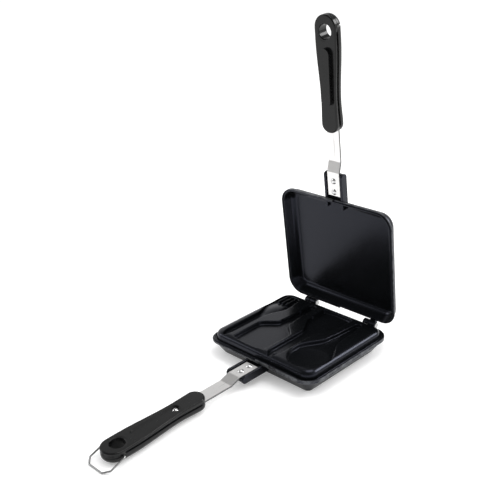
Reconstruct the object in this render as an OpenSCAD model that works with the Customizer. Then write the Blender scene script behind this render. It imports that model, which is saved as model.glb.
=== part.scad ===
// Double sided flip pan, after a hinged hot-sandwich maker.
// Two cast pans close rim to rim on two hinges. Each pan has a channel bracket
// with a riveted strap, and each strap carries a handle of two moulded shells.
// A wire bail on the lower handle flips over the end of the upper one.
// Frame: +X along the hinge line, handles towards -Y, +Z up. The origin is the
// centre of the lower pan's foot, on the surface that the pan stands on.
// Shapes that both pans share are drawn for the lower pan, below the plane where
// the pans part (z = 0 there), and the lid mirrors and then opens them.

/* [Pans] */
// Width of both rims, along the hinge line
pan_w = 148; // [136:1:180]
// Depth of both rims, from hinge side to handle side
pan_d = 134; // [126:1:170]
// Corner radius of the rims
corner_r = 18; // [14:0.5:24]
// Height of the lower rim above the table
rim_h = 18.5; // [18.25:0.25:24]
// Thickness of the rim flange
flange_t = 3; // [2.5:0.25:4]
// Width of the flat face of each rim
rim_w = 3; // [2.5:0.25:3.5]
// Overhang of the flange beyond the wall below it
flange_over = 2; // [1:0.25:3]
// How far in the lower pan's foot lies from its rim
foot_inset = 12; // [9:0.5:13]
// Width of the foot ring
foot_w = 4; // [3:0.5:6]
// Rounding of the pans' outer bottom edges
foot_r = 1.5; // [0.5:0.25:2.5]
// Gap left between the two rims when closed
rim_gap = 0.3; // [0.2:0.05:0.5]
// Height of the locating lip on half of each rim
lip_h = 0.9; // [0.5:0.1:1.3]
// Width of the locating lip
lip_w = 1.5; // [1:0.1:2]
// Clearance round the lip in the other rim
lip_clear = 0.3; // [0.2:0.05:0.5]

/* [Lower pan relief] */
// Height of the raised bed above the parting plane
bed_h = 8; // [6.5:0.25:8.25]
// Width of the gutter between the rim and the bed
gutter_w = 1.6; // [1.5:0.1:2.5]
// Depth of the gutter below the rim
gutter_d = 1.5; // [1:0.25:2.5]
// Corner radius of the bed
bed_corner_r = 13.4; // [10:0.1:15]
// Rounding of the bed's top edge
bed_edge_r = 5; // [4:0.5:6]
// Depth of the utensil shapes in the bed
relief_d = 4; // [2.5:0.25:4]
// Thickness of metal under the utensil shapes
bed_t = 4.5; // [4:0.25:6]
// Distance between the centre lines of neighbouring utensils
utensil_pitch = 32.5; // [31:0.25:34]
// Length of the utensil shapes
utensil_l = 112; // [104:1:114]
// How far the utensil shapes lie towards the handle
utensil_y = 2.4; // [0:0.1:3]
// Half width of the handles of the fork, turner and spoon
stem_hw = 4.6; // [3.5:0.1:5.2]
// How much wider the scraper's handle is, on each side
stem_extra = 2.1; // [0:0.1:2.4]
// Half width of the fork's head at its shoulders
fork_hw = 13.4; // [12:0.1:13.6]
// Half width of the fork's head at the tips of its tines
fork_tip_hw = 10.5; // [9.5:0.1:12]
// Width of the ridges between the fork's tines
tine_gap = 2.6; // [2:0.1:3]
// Length of the ridges between the fork's tines
tine_l = 19; // [14:0.5:22]
// Half width of the turner's blade
turner_hw = 21.8; // [16:0.1:22]
// Half width of the scraper's blade
scraper_hw = 19; // [15:0.5:19.5]
// Half width of the spoon's bowl
spoon_hw = 21.5; // [15:0.5:22]
// Depth of the hollow in the spoon's bowl
bowl_dish = 2; // [0.5:0.25:2]

/* [Lid] */
// Depth of the dish in the lid
dish_d = 12; // [11:0.25:12]
// How far the dish's walls lean in above their rounding
dish_lean = 2; // [1.5:0.25:2.25]
// Rounding where the dish's wall meets its floor
dish_r = 7; // [6:0.5:8]
// Thickness of the lid's floor
dish_t = 2.5; // [2.2:0.1:2.5]
// Rounding of the lid's outer edge
lid_r = 9; // [7.5:0.5:9]

/* [Hinges] */
// Distance of the hinge axis behind the rims
hinge_out = 5.3; // [5:0.1:8]
// Distance from the pan's middle to the middle of each hinge
hinge_x = 42; // [30:1:50]
// Length of one knuckle
knuckle_l = 7.2; // [6:0.2:10]
// Outer radius of the knuckles
knuckle_r = 4.4; // [3.8:0.1:4.6]
// Gap between the two knuckles of a hinge
knuckle_gap = 0.4; // [0.3:0.1:0.8]
// Radius of the hinge pins
pin_r = 2; // [1.5:0.1:2.4]
// Radial clearance of the pins in the knuckles
pin_clear = 0.05; // [0.02:0.01:0.1]
// Angle of the lid in the photograph, 0 when closed
lid_open = 84; // [0:1:180]

/* [Brackets and straps] */
// Length of the bracket beyond the rim
bracket_l = 29.5; // [27:0.5:36]
// Thickness of the bracket's side walls
bracket_wall = 3; // [2.5:0.25:4]
// Depth of the bracket below the parting plane
bracket_depth = 11; // [10.5:0.25:12.5]
// Thickness of the bracket's floor
bracket_floor = 3.5; // [3:0.25:4]
// Rounding of the bracket's free end
bracket_r = 3.5; // [2:0.25:4.5]
// Width of the straps
strap_w = 16; // [14:0.5:18]
// Thickness of the straps
strap_t = 1.8; // [1.5:0.1:2]
// Depth of the strap's face in the bracket, below the parting plane
strap_in = 3.4; // [3.2:0.1:4]
// Depth of the strap's face in the handle, below the parting plane
strap_out = 7.2; // [6.8:0.1:7.6]
// Length of the sloping step in the strap
step_l = 12; // [9:0.5:15]
// How far the strap reaches into the handle
strap_grip = 44; // [40:1:60]
// Gap between the strap's sides and the bracket's walls
strap_side = 1; // [0.5:0.1:1.5]
// Distance of the first rivet from the rim
rivet_1 = 8.3; // [8:0.1:10]
// Distance between the two rivets
rivet_pitch = 12.3; // [10:0.1:14]
// Radius of the rivets' shanks
rivet_r = 2; // [1.5:0.1:2.2]
// Radius of the rivets' heads
rivet_head_r = 3.3; // [3:0.1:3.8]
// Height of the rivets' heads
rivet_head_h = 1.7; // [1.2:0.1:2]

/* [Handles] */
// Distance from the rim to the handle's front end
handle_start = 74; // [66:1:84]
// Length of the handles
handle_l = 119; // [110:1:135]
// Half width of the handle near its front end
front_hw = 10.2; // [9.5:0.1:11]
// Half width of the handle at its waist
waist_hw = 9.6; // [9.2:0.1:10.5]
// Half width of the handle near its free end
tail_hw = 13; // [12:0.1:13.5]
// Depth of the handle's inner face at its front end, below the parting plane
face_front = 2.1; // [1.6:0.1:2.6]
// Depth of the handle's inner face at its free end
face_tail = 5; // [3:0.1:5.2]
// Depth of the handle's back at its waist
back_waist = 15.8; // [14.5:0.1:16.2]
// Depth of the handle's back near its free end
back_tail = 17; // [15.5:0.1:17.2]
// Rounding of the handle's front end, along the handle
nose_r = 9; // [7:0.5:11]
// Rounding of the handle's free end, along the handle
tail_r = 13; // [11:0.5:15]
// Depth of the grip groove between the two shells
groove_in = 1.2; // [0.8:0.1:1.4]
// Radius of the hanging hole
hang_r = 7.5; // [5:0.25:7.5]
// Distance of the hanging hole from the handle's free end
hang_back = 16.5; // [14:0.5:20]
// Distance of the handle screw behind the front end
screw_back = 34; // [30:1:38]
// Radius of the handle screw
screw_r = 1.95; // [1.5:0.05:2]
// Radius of the screw's head
screw_head_r = 3.2; // [2.8:0.1:3.4]
// Height of the screw's head
screw_head_h = 1.6; // [1.2:0.1:1.8]
// Length of the shallow finger recess in the inner face
recess_l = 48; // [30:1:54]
// Half width of the finger recess
recess_hw = 4.2; // [3:0.1:5.5]
// Depth of the finger recess
recess_d = 1; // [0.5:0.1:1.2]

/* [Bail] */
// Radius of the bail's wire
wire_r = 0.9; // [0.7:0.05:1]
// Bend radius of the bail's wire, at its middle
wire_bend = 2; // [1.2:0.1:3]
// Distance from the bail's pivot to its end bar
bail_reach = 23.7; // [23.3:0.1:24.2]
// How far beyond the pivot the end bar lies when flipped over, along the handle
saddle_run = 2.2; // [1:0.1:3.5]
// Half width of the bail across its arms
bail_hw = 15.2; // [14.8:0.1:16.5]
// Length and width of the bail's slanted corners
bail_corner = 5.8; // [4:0.1:8]
// Depth of the bail's pivot below the parting plane
pivot_depth = 10; // [9.5:0.1:10.4]
// Distance of the bail's pivot from the handle's free end
pivot_back = 13.5; // [11:0.5:16]
// Depth of the pivot holes in the handle
pivot_hole = 3.6; // [2.5:0.1:4]

/* [Hidden] */
$fn = 64;
eps = 0.01;
// Running clearance between pieces that only pass each other, and seat gaps
slack = 0.3;
seat = 0.1;

// Heights
part_z = rim_h + rim_gap / 2;
rim_z = -rim_gap / 2;
foot_z = -part_z;
hinge_y = pan_d / 2 + hinge_out;
rim_y = -pan_d / 2;
// The raised bed and the hollow under it
bed_w = pan_w - 2 * (rim_w + gutter_w);
bed_depth = pan_d - 2 * (rim_w + gutter_w);
relief_z = bed_h - relief_d;
hollow_z = relief_z - bed_t;
// The lid's outside follows its dish
lid_back = dish_d + dish_t;
lid_inset = rim_w + dish_lean - dish_t + 0.5;
// The bracket holds the strap with room at its sides
bracket_hw = strap_w / 2 + strap_side + bracket_wall;
bracket_top = strap_in - 1.2;
bracket_seat = strap_in + strap_t;
// Handle stations, as distances from the rim
handle_end = handle_start + handle_l;
screw_at = handle_start + screw_back;
hang_at = handle_end - hang_back;
pivot_at = handle_end - pivot_back;
seam = strap_out;
back_front = back_waist + 0.7;
waist_at = screw_at - 2;
broad_at = handle_end - tail_r - 12;
nut_af = 7;
nut_h = 2.2;
nut_seat = seam + strap_t + 1;
// The bail hangs down until its end bar rests on the table
bail_droop = asin((part_z - pivot_depth - wire_r) / bail_reach);

// Rises smoothly from 0 to 1
function ease(t) = t <= 0 ? 0 : t >= 1 ? 1 : t * t * (3 - 2 * t);
// Half width at s from a list of [station, half width], with smooth runs between
function width_at(list, s, i = 0) =
    i >= len(list) - 2 || s <= list[i + 1][0]
        ? let (a = list[i], b = list[i + 1])
            a[1] + (b[1] - a[1]) * ease((s - a[0]) / (b[0] - a[0]))
        : width_at(list, s, i + 1);
// Share of the full width left by a round end of length r
function round_end(s, r) = s >= r ? 1 : sqrt(max(0, 1 - pow(1 - s / r, 2)));

// Outline of a utensil that lies along Y, from its front end at s = 0
function utensil_points(list, len, r_front, r_back, n = 48) = [
    for (side = [1, -1], k = [0:n])
        let (
            t = side > 0 ? k / n : 1 - k / n,
            s = len * (1 - cos(180 * t)) / 2,
            w = width_at(list, s) * round_end(s, r_front) * round_end(len - s, r_back)
        )
        [side * max(w, 0.05), s - len / 2]
];

// Rectangle with round corners, centred
module rounded_rect(w, d, r) {
    square([w, d - 2 * r], center = true);
    square([w - 2 * r, d], center = true);
    for (x = [-1, 1], y = [-1, 1])
        translate([x * (w / 2 - r), y * (d / 2 - r)]) circle(r);
}

// Block with round corners from z0 to z1
module rounded_block(w, d, r, z0, z1) {
    translate([0, 0, z0]) linear_extrude(z1 - z0) rounded_rect(w, d, r);
}

// Points of a quarter round of radius e, from the flat end to the wall: [inset, z]
function quarter(inset, z, e, up) = [
    for (k = [0:4])
        let (a = up ? 90 * (1 - k / 4) : 90 * k / 4)
        [inset + e * (1 - sin(a)), z + (up ? -1 : 1) * e * (1 - cos(a))]
];

// Solid with round corners whose four sides all follow one list of [inset, z],
// given from the bottom up; the insets are counted from the outline w by d
module swept_block(w, d, r, side) {
    last = len(side) - 1;
    for (turn = [0, 90])
        let (along = turn == 0 ? w : d, across = turn == 0 ? d : w)
            rotate(turn) translate([-(along / 2 - r), 0, 0]) rotate([90, 0, 90])
                linear_extrude(along - 2 * r)
                    polygon(concat(
                        [for (p = side) [across / 2 - p[0], p[1]]],
                        [for (k = [last:-1:0]) [side[k][0] - across / 2, side[k][1]]]
                    ));
    for (x = [-1, 1], y = [-1, 1])
        translate([x * (w / 2 - r), y * (d / 2 - r), 0]) rotate_extrude()
            polygon(concat(
                [[0, side[0][1]]],
                [for (p = side) [max(r - p[0], 0.05), p[1]]],
                [[0, side[last][1]]]
            ));
}

// Cylinder along X
module x_rod(r, x0, x1) {
    translate([x0, 0, 0]) rotate([0, 90, 0]) cylinder(r = r, h = x1 - x0);
}

// Dome of radius r and height h that stands on z = 0
module dome(r, h) {
    ball = (r * r + h * h) / (2 * h);
    intersection() {
        translate([0, 0, h - ball]) sphere(ball);
        cylinder(r = r + 1, h = h + 1);
    }
}

// Places shapes drawn below the parting plane on the lower pan
module on_lower() {
    translate([0, 0, part_z]) children();
}

// Turns lid shapes about the hinge axis to the lid's angle
module on_lid() {
    translate([0, hinge_y, part_z]) rotate([-lid_open, 0, 0])
        translate([0, -hinge_y, 0]) mirror([0, 0, 1]) children();
}

// Ring of the rim on one side of the middle, for the lip and its rebate
module rim_strip(side, grow, z0, z1) {
    intersection() {
        difference() {
            rounded_block(pan_w + 2 * grow, pan_d + 2 * grow, corner_r + grow, z0, z1);
            inner = lip_w + grow;
            rounded_block(pan_w - 2 * inner, pan_d - 2 * inner, corner_r - inner,
                z0 - 1, z1 + 1);
        }
        translate([side > 0 ? -grow : -pan_w, -pan_d, z0 - 2])
            cube([pan_w + grow, 2 * pan_d, z1 - z0 + 4]);
    }
}

// Channel bracket with round free ends, open towards the other pan
module bracket() {
    length = bracket_l + foot_inset + 1;
    back = rim_y + foot_inset + 1;
    translate([0, back, 0]) rotate([90, 0, -90]) {
        translate([0, 0, -bracket_hw]) linear_extrude(bracket_wall)
            bracket_side(length);
        translate([0, 0, bracket_hw - bracket_wall]) linear_extrude(bracket_wall)
            bracket_side(length);
    }
    translate([-bracket_hw + eps, back - length, -bracket_seat - bracket_floor])
        cube([2 * bracket_hw - 2 * eps, length, bracket_floor]);
}

// Side of the bracket, with its free end at x = length
module bracket_side(length) {
    height = bracket_depth - bracket_top;
    translate([0, -bracket_depth]) {
        square([length - bracket_r, height]);
        translate([0, bracket_r]) square([length, height - 2 * bracket_r]);
        for (y = [bracket_r, height - bracket_r])
            translate([length - bracket_r, y]) circle(bracket_r);
    }
}

// One knuckle with its arm, from x0 along X, below the parting plane
module knuckle(x0) {
    translate([0, hinge_y, 0]) x_rod(knuckle_r, x0, x0 + knuckle_l);
    translate([x0, pan_d / 2 - 2.5, -knuckle_r])
        cube([knuckle_l, hinge_out + 2.5, knuckle_r + rim_z]);
}

// Start of a hinge's first knuckle along X
function hinge_start(side) = side * hinge_x - knuckle_l - knuckle_gap / 2;

// Bores of both hinges
module pin_bores() {
    for (side = [-1, 1])
        translate([0, hinge_y, 0])
            x_rod(pin_r + pin_clear, hinge_start(side) - 1,
                hinge_start(side) + 2 * knuckle_l + knuckle_gap + 1);
}

module rivet_holes() {
    for (at = [rivet_1, rivet_1 + rivet_pitch])
        translate([0, rim_y - at, -bracket_depth - 1])
            cylinder(r = rivet_r + seat, h = bracket_depth + 2);
}

// Rim, wall and foot of a pan before anything is cut from it
module pan_blank(foot, inset, round) {
    rounded_block(pan_w, pan_d, corner_r, rim_z - flange_t, rim_z);
    swept_block(pan_w, pan_d, corner_r, concat(
        quarter(inset, -foot, round, false),
        [[flange_over, rim_z - flange_t + eps]]
    ));
    bracket();
}

// The four utensil shapes, head to tail across the bed: fork, turner, scraper, spoon
fork_x = -1.66 * utensil_pitch;
turner_x = -0.643 * utensil_pitch;
scraper_x = 0.378 * utensil_pitch;
spoon_x = 1.348 * utensil_pitch;
spoon_l = utensil_l - 4;
module utensils() {
    wide = stem_hw + stem_extra;
    tail = utensil_l - 6;
    translate([fork_x, -utensil_y]) difference() {
        polygon(utensil_points([[0, stem_hw], [58, stem_hw + 0.2], [86, fork_hw],
            [90, fork_hw], [utensil_l, fork_tip_hw]], utensil_l, 16, 4));
        for (k = [-1:1])
            translate([k * (fork_tip_hw + tine_gap / 3) / 2, utensil_l / 2])
                square([tine_gap, 2 * tine_l], center = true);
    }
    translate([turner_x, -utensil_y])
        polygon(utensil_points([[0, turner_hw - 0.3], [41, turner_hw],
            [60, stem_hw + 1.2], [80, stem_hw - 0.3], [tail, stem_hw - 0.6]],
            utensil_l - 3, 3, stem_hw));
    translate([scraper_x, -utensil_y]) difference() {
        polygon(utensil_points([[0, wide], [60, wide + 0.1], [88, scraper_hw],
            [utensil_l + 2, scraper_hw]], utensil_l + 2, 16, 2));
        translate([3, 6.4 - utensil_l / 2]) circle(2.2);
    }
    translate([spoon_x, -utensil_y])
        polygon(utensil_points([[0, spoon_hw - 0.5], [30, spoon_hw],
            [64, stem_hw + 2.4], [80, stem_hw + 0.4], [spoon_l, stem_hw - 1]],
            spoon_l, 26, stem_hw));
}

// Lower pan: rim, gutter, raised bed with the utensil shapes, hollow underside
module lower_pan() {
    inside = [pan_w - 2 * rim_w, pan_d - 2 * rim_w, corner_r - rim_w];
    foot_in = foot_inset + foot_w;
    bowl_r = spoon_hw - 1.5;
    ball = (bowl_r * bowl_r + bowl_dish * bowl_dish) / (2 * bowl_dish);
    color("dimgray") on_lower() difference() {
        union() {
            difference() {
                pan_blank(part_z, foot_inset, foot_r);
                rounded_block(inside[0], inside[1], inside[2], rim_z - gutter_d, 2);
            }
            swept_block(bed_w, bed_depth, bed_corner_r, concat(
                [[0, rim_z - gutter_d - 1]],
                quarter(0.8, bed_h, bed_edge_r, true)
            ));
            rim_strip(1, 0, rim_z - eps, rim_z + lip_h);
            for (side = [-1, 1]) knuckle(hinge_start(side));
        }
        rim_strip(-1, lip_clear, rim_z - lip_h - lip_clear, rim_z + 1);
        translate([0, 0, relief_z]) linear_extrude(relief_d + 1) utensils();
        translate([spoon_x, 24 - utensil_y - spoon_l / 2, relief_z - bowl_dish])
            intersection() {
                translate([0, 0, ball]) sphere(ball);
                cylinder(r = spoon_hw, h = bowl_dish + eps);
            }
        rounded_block(pan_w - 2 * foot_in, pan_d - 2 * foot_in, corner_r - 8,
            foot_z - 1, hollow_z);
        pin_bores();
        rivet_holes();
    }
}

// Lid: the same rim and bracket round a plain dish
module upper_pan() {
    mouth_r = corner_r - rim_w;
    color("dimgray") on_lid() difference() {
        union() {
            pan_blank(lid_back, lid_inset, lid_r);
            rim_strip(-1, 0, rim_z - eps, rim_z + lip_h);
            for (side = [-1, 1]) knuckle(hinge_start(side) + knuckle_l + knuckle_gap);
        }
        rim_strip(1, lip_clear, rim_z - lip_h - lip_clear, rim_z + 1);
        swept_block(pan_w - 2 * rim_w, pan_d - 2 * rim_w, mouth_r, concat(
            quarter(dish_lean, -dish_d, dish_r, false), [[0, rim_z], [0, 2]]
        ));
        pin_bores();
        rivet_holes();
    }
}

// Pin with a flat head on +X and a peened end on -X
module hinge_pin(side) {
    start = hinge_start(side) - 0.15;
    end = start + 2 * knuckle_l + knuckle_gap + 0.3;
    color("silver") translate([0, hinge_y, part_z]) {
        x_rod(pin_r, start - 0.8, end + eps);
        x_rod(pin_r + 0.8, start - 0.8, start);
        x_rod(pin_r + 1.1, end, end + 1.4);
    }
}

// Flat strap with one step down from the bracket into the handle
module strap() {
    bend = bracket_l + 0.5;
    tip = handle_start + strap_grip;
    profile = [
        [4, -strap_in], [bend, -strap_in], [bend + step_l, -strap_out],
        [tip, -strap_out], [tip, -strap_out - strap_t],
        [bend + step_l - 0.3, -strap_out - strap_t], [bend - 0.3, -strap_in - strap_t],
        [4, -strap_in - strap_t]
    ];
    color("gainsboro") difference() {
        translate([strap_w / 2, rim_y, 0]) rotate([90, 0, -90])
            linear_extrude(strap_w) polygon(profile);
        rivet_holes();
        translate([0, rim_y - screw_at, -strap_out - 5])
            cylinder(r = screw_r + 2 * seat, h = 10);
    }
}

// Rivet through strap and bracket floor
module rivet(at) {
    color("silver") translate([0, rim_y - at, 0]) {
        translate([0, 0, -strap_in]) dome(rivet_head_r, rivet_head_h);
        tail = -bracket_seat - bracket_floor;
        translate([0, 0, tail - 1.2]) cylinder(r = rivet_head_r - 0.3, h = 1.2);
        translate([0, 0, tail - 1]) cylinder(r = rivet_r, h = -tail + 1 - strap_in);
    }
}

// Half widths of the handle along its length, from the rim
handle_list = [
    [handle_start, front_hw], [handle_start + nose_r, front_hw], [waist_at, waist_hw],
    [broad_at, tail_hw], [handle_end, tail_hw]
];
// Depth of the handle's back along its length
back_list = [
    [handle_start, back_front], [handle_start + nose_r, back_front],
    [waist_at, back_waist], [broad_at, back_tail], [handle_end, back_tail]
];
function face_at(s) = face_front + (face_tail - face_front) * (s - handle_start) / handle_l;

// Stations along the handle for an outline drawn in by inset
function stations(inset) = concat(
    [for (k = [0:6]) handle_start + nose_r - (nose_r - inset) * cos(6 + 84 * k / 7)],
    [for (k = [0:16]) handle_start + nose_r
        + (handle_l - nose_r - tail_r) * k / 16],
    [for (k = [1:7]) handle_end - tail_r + (tail_r - inset) * sin(84 * k / 7)]
);
// Groove between the shells fades out towards both ends
function groove_at(s) =
    groove_in * ease((s - handle_start - 5) / 5) * ease((handle_end - 13 - s) / 6);
function handle_hw(s, inset, in_groove) =
    let (
        nose = handle_start + nose_r,
        tail = handle_end - tail_r,
        a = s < nose ? sqrt(max(0, 1 - pow((nose - s) / (nose_r - inset), 2))) : 1,
        b = s > tail ? sqrt(max(0, 1 - pow((s - tail) / (tail_r - inset), 2))) : 1
    )
    (width_at(handle_list, s) - inset - (in_groove ? groove_at(s) : 0)) * a * b;

// Shell lofted through levels of [inset, height share, lies in the groove].
// A share of 0 is the inner face, 1 the seam and 2 the back.
function level_z(share, s) = share <= 1
    ? -(face_at(s) + (seam - face_at(s)) * share)
    : -(seam + (width_at(back_list, s) - seam) * (share - 1));
module shell_solid(levels) {
    n = len(stations(0));
    ring = 2 * n;
    points = [
        for (lv = levels)
            let (st = stations(lv[0]))
            each concat(
                [for (s = st) [handle_hw(s, lv[0], lv[2]), rim_y - s, level_z(lv[1], s)]],
                [for (k = [n - 1:-1:0])
                    [-handle_hw(st[k], lv[0], lv[2]), rim_y - st[k], level_z(lv[1], st[k])]]
            )
    ];
    sides = [
        for (j = [0:len(levels) - 2], k = [0:ring - 1])
            let (a = j * ring + k, b = j * ring + (k + 1) % ring)
            each [[b + ring, b, a], [a + ring, b + ring, a]]
    ];
    last = (len(levels) - 1) * ring;
    caps = [
        for (k = [0:n - 2])
            let (m = ring - 1 - k)
            each [
                [m, k, k + 1], [m - 1, m, k + 1],
                [last + m, last + k + 1, last + k], [last + m, last + m - 1, last + k + 1]
            ]
    ];
    polyhedron(points, concat(sides, caps));
}

module screw_hole(r) {
    translate([0, rim_y - screw_at, -20]) cylinder(r = r, h = 25);
}

// Shell of the handle that faces the other handle
module handle_inner_shell() {
    color([0.07, 0.07, 0.08]) difference() {
        shell_solid([
            [1.9, 0, false], [0.8, 0.08, false], [0.2, 0.24, false], [0, 0.42, false],
            [0, 0.66, false], [0.1, 0.74, true], [0.1, 1, true]
        ]);
        translate([0, rim_y - hang_at, -20]) cylinder(r = hang_r, h = 25);
        screw_hole(screw_r + 2 * seat);
        translate([0, rim_y - screw_at, -face_at(screw_at) - screw_head_h - 0.6])
            cylinder(r = screw_head_r + 0.4, h = 10);
        translate([0, rim_y - screw_at, -face_at(screw_at + recess_l / 2) - recess_d])
            recess_cut();
    }
}

// Shallow recess with round ends that runs from the screw towards the free end
module recess_cut() {
    linear_extrude(10) {
        translate([-recess_hw, -recess_l]) square([2 * recess_hw, recess_l]);
        circle(recess_hw);
        translate([0, -recess_l]) circle(recess_hw);
    }
}

// Notch over the upper handle's back and shoulders, where the flipped bail lies.
// It is drawn in the bail's own plane, from the pivot on the lower handle.
module saddle_cut() {
    gap = wire_r + slack;
    floor_y = gap - bail_reach;
    floor_hw = bail_hw - bail_corner - gap * tan(22.5);
    reach = tail_hw + 5;
    translate([0, rim_y - pivot_at, pivot_depth]) rotate([acos(saddle_run / bail_reach), 0, 0])
        translate([0, 0, -gap]) linear_extrude(2 * gap)
            polygon([
                [-floor_hw, floor_y], [floor_hw, floor_y],
                [reach, floor_y + reach - floor_hw], [reach, floor_y - 8],
                [-reach, floor_y - 8], [-reach, floor_y + reach - floor_hw]
            ]);
}

// Shell of the handle that faces away; the strap lies in its pocket
module handle_outer_shell(saddle, pivots) {
    tip = handle_start + strap_grip;
    color([0.07, 0.07, 0.08]) difference() {
        shell_solid([
            [0.1, 1, true], [0.1, 1.16, true], [0, 1.22, false], [0, 1.5, false],
            [0.5, 1.68, false], [1.6, 1.84, false], [3.4, 1.95, false], [5.6, 2, false]
        ]);
        translate([0, rim_y - hang_at, -20]) cylinder(r = hang_r, h = 25);
        screw_hole(screw_r + 2 * seat);
        translate([-strap_w / 2 - seat, rim_y - tip - slack, -seam - strap_t - seat])
            cube([strap_w + 2 * seat, strap_grip + 10, strap_t + 1]);
        translate([0, rim_y - screw_at, -20])
            cylinder(d = (nut_af + slack) / cos(30), h = 20 - nut_seat, $fn = 6);
        if (saddle) saddle_cut();
        if (pivots)
            translate([0, rim_y - pivot_at, -pivot_depth])
                for (side = [-1, 1])
                    x_rod(wire_r + 0.08,
                        side > 0 ? tail_hw - pivot_hole : -tail_hw - 5,
                        side > 0 ? tail_hw + 5 : -tail_hw + pivot_hole);
    }
}

// Cross-headed screw, head in the inner shell, thread in the nut
module handle_screw() {
    under = -face_at(screw_at) - screw_head_h - 0.6;
    color("silver") translate([0, rim_y - screw_at, 0]) difference() {
        union() {
            translate([0, 0, under]) dome(screw_head_r, screw_head_h);
            translate([0, 0, -nut_seat - nut_h])
                cylinder(r = screw_r, h = under + nut_seat + nut_h + 0.5);
        }
        for (a = [0, 90])
            rotate(a) translate([-1.6, -0.3, under + screw_head_h - 0.7])
                cube([3.2, 0.6, 2]);
    }
}

module handle_nut() {
    color("silver") translate([0, rim_y - screw_at, -nut_seat - nut_h]) difference() {
        cylinder(d = nut_af / cos(30), h = nut_h, $fn = 6);
        translate([0, 0, -1]) cylinder(r = screw_r + pin_clear, h = nut_h + 2);
    }
}

// Direction of the run from point i of a path to the next one
function heading(path, i) =
    let (d = path[i + 1] - path[i]) (atan2(d[1], d[0]) + 360) % 360;
// Left turn at point i of a path
function turn_at(path, i) =
    i < 1 || i > len(path) - 2 ? 0 : (heading(path, i) - heading(path, i - 1) + 360) % 360;

// Round wire along a flat path that always turns left, bent to a radius. The bends
// are a hair thicker than the runs, whose ends reach a little way into them.
module bent_wire(path, r, bend) {
    lap = 0.15;
    for (i = [0:len(path) - 2]) {
        cut = bend * tan(turn_at(path, i) / 2);
        turn = turn_at(path, i + 1);
        run = norm(path[i + 1] - path[i]) - cut - bend * tan(turn / 2);
        translate([path[i][0], path[i][1], 0]) rotate(heading(path, i)) {
            x_rod(r, cut - (i > 0 ? lap : 0), cut + run + (turn > 0 ? lap : 0));
            if (turn > 0)
                translate([cut + run, bend, 0]) rotate(-90)
                    rotate_extrude(angle = turn) translate([bend, 0]) circle(r + 0.02);
        }
    }
}

// Wire bail with slanted corners; its ends turn in to the lower handle's sides
module bail_wire() {
    arm = bail_reach - bail_corner;
    inner = tail_hw - pivot_hole + slack;
    bar_hw = bail_hw - bail_corner;
    path = [
        [-inner, 0], [-bail_hw, 0], [-bail_hw, -arm], [-bar_hw, -bail_reach],
        [bar_hw, -bail_reach], [bail_hw, -arm], [bail_hw, 0], [inner, 0]
    ];
    color("silver") on_lower() translate([0, rim_y - pivot_at, -pivot_depth])
        rotate([bail_droop, 0, 0]) bent_wire(path, wire_r, wire_bend);
}

lower_pan();
upper_pan();
hinge_pin(-1);  // left_hinge_pin
hinge_pin(1);  // right_hinge_pin
on_lower() strap();  // lower_strap
on_lid() strap();  // upper_strap
on_lower() rivet(rivet_1);  // lower_rivet_near_rim
on_lower() rivet(rivet_1 + rivet_pitch);  // lower_rivet_outer
on_lid() rivet(rivet_1);  // upper_rivet_near_rim
on_lid() rivet(rivet_1 + rivet_pitch);  // upper_rivet_outer
on_lower() handle_inner_shell();  // lower_handle_inner_shell
on_lower() handle_outer_shell(false, true);  // lower_handle_outer_shell
on_lid() handle_inner_shell();  // upper_handle_inner_shell
on_lid() handle_outer_shell(true, false);  // upper_handle_outer_shell
on_lower() handle_screw();  // lower_handle_screw
on_lid() handle_screw();  // upper_handle_screw
on_lower() handle_nut();  // lower_handle_nut
on_lid() handle_nut();  // upper_handle_nut
bail_wire();
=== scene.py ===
import math

import bmesh
import bpy
import numpy as np
from mathutils import Matrix, Vector


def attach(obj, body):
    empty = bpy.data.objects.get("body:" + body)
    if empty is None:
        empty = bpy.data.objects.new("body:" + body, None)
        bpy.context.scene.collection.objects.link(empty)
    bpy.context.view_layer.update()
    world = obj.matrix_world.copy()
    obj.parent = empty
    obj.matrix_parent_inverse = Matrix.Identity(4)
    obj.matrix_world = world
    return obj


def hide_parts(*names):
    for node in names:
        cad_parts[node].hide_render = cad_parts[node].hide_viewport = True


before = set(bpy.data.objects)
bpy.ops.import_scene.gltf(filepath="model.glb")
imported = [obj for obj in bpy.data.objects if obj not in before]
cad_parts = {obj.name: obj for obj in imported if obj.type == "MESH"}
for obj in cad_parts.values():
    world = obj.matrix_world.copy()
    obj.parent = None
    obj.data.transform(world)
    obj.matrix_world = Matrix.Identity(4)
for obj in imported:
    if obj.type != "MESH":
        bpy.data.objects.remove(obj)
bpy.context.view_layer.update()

scene = bpy.context.scene
scene.view_settings.view_transform = "Standard"


# The view of the photograph: the camera stands at the front right, a little above
# the open lid, with a long lens and a roll of two degrees.
azimuth, elevation, roll = (math.radians(a) for a in (45.05, 23.51, -2.096))
forward = Vector((
    -math.sin(azimuth) * math.cos(elevation),
    math.cos(azimuth) * math.cos(elevation),
    -math.sin(elevation),
))
level_right = forward.cross(Vector((0, 0, 1))).normalized()
level_up = level_right.cross(forward)
right = level_right * math.cos(roll) + level_up * math.sin(roll)
up = level_up * math.cos(roll) - level_right * math.sin(roll)

camera = bpy.data.objects.new("photo_camera", bpy.data.cameras.new("photo_camera"))
scene.collection.objects.link(camera)
camera.data.sensor_width = 36
camera.data.lens = 59.009
camera.data.shift_x = -0.0015
camera.data.shift_y = -0.0002
camera.data.clip_end = 50
turned_axes = Matrix((right, up, -forward)).transposed().to_4x4()
camera.matrix_world = Matrix.Translation((0.51346, -0.57962, 0.45756)) @ turned_axes
scene.camera = camera


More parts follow.
